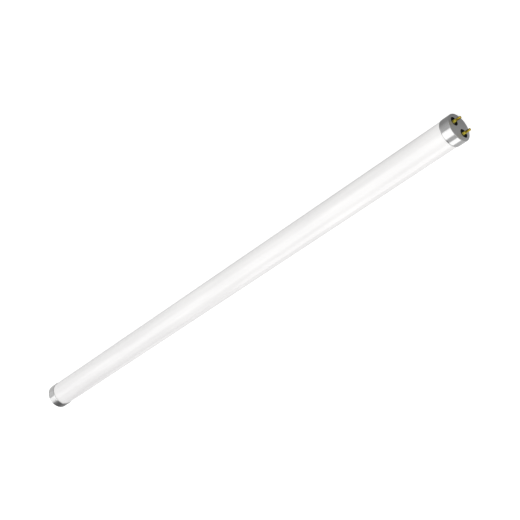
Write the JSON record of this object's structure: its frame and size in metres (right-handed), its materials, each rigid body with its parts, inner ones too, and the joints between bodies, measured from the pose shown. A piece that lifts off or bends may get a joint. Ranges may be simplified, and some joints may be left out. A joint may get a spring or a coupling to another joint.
{
  "type": "led tube",
  "caption": "Straight tubular LED lamp: opal glass tube with short aluminium two-pin caps, LED board and driver inside.",
  "frame": {"origin": "middle of the lamp's axis, halfway between the two cap faces", "axes": "+X along the lamp towards the mains end, +Y across through the pin pair, +Z the way the light leaves"},
  "size_m": [0.604, 0.026, 0.026],
  "materials": {
    "opal_glass": "glossy glass with a milky white coating inside",
    "aluminium_sheet": "drawn sheet, bright satin",
    "black_moulding": "moulded, matt",
    "pin_brass": "turned, bright",
    "cap_cement": "cured adhesive",
    "board_aluminium": "white solder mask",
    "silicone": "cured silicone",
    "led_frame_plastic": "moulded",
    "phosphor": "clear gel with yellow phosphor",
    "glass_fibre_board": "green solder mask",
    "polyester_film": "white film",
    "resistor_coating": "lacquer",
    "varistor_coating": "epoxy dip",
    "film_capacitor_coating": "epoxy dip",
    "ferrite": "sintered",
    "enamelled_copper": "enamelled wire",
    "capacitor_sleeve": "shrunk sleeve",
    "chip_moulding": "moulded",
    "chip_ceramic": "ceramic",
    "wire_brown": "extruded",
    "wire_blue": "extruded",
    "header_moulding": "moulded",
    "header_metal": "tin plated",
    "wire_white": "extruded"
  },
  "bodies": {
    "root": {"glass_tube": "opal_glass", "near_cap_shell": "aluminium_sheet", "far_cap_shell": "aluminium_sheet", "near_insulator": "black_moulding", "far_insulator": "black_moulding", "live_pin": "pin_brass", "neutral_pin": "pin_brass", "far_pin_left": "pin_brass", "far_pin_right": "pin_brass", "near_cap_cement": "cap_cement", "far_cap_cement": "cap_cement", "led_board": "board_aluminium", "board_adhesive": "silicone", "led_frames": "led_frame_plastic", "led_phosphors": "phosphor", "driver_board": "glass_fibre_board", "driver_sleeve": "polyester_film", "header_block": "header_moulding", "header_pins": "header_metal", "fusible_resistor": "resistor_coating", "varistor": "varistor_coating", "film_capacitor": "film_capacitor_coating", "choke_core": "ferrite", "choke_winding": "enamelled_copper", "smoothing_capacitor": "capacitor_sleeve", "output_capacitor": "capacitor_sleeve", "bridge_rectifier": "chip_moulding", "controller_chip": "chip_moulding", "output_diode": "chip_moulding", "chip_resistors": "chip_ceramic", "live_lead": "wire_brown", "neutral_lead": "wire_blue", "shorting_link": "wire_white"}
  },
  "joints": []
}
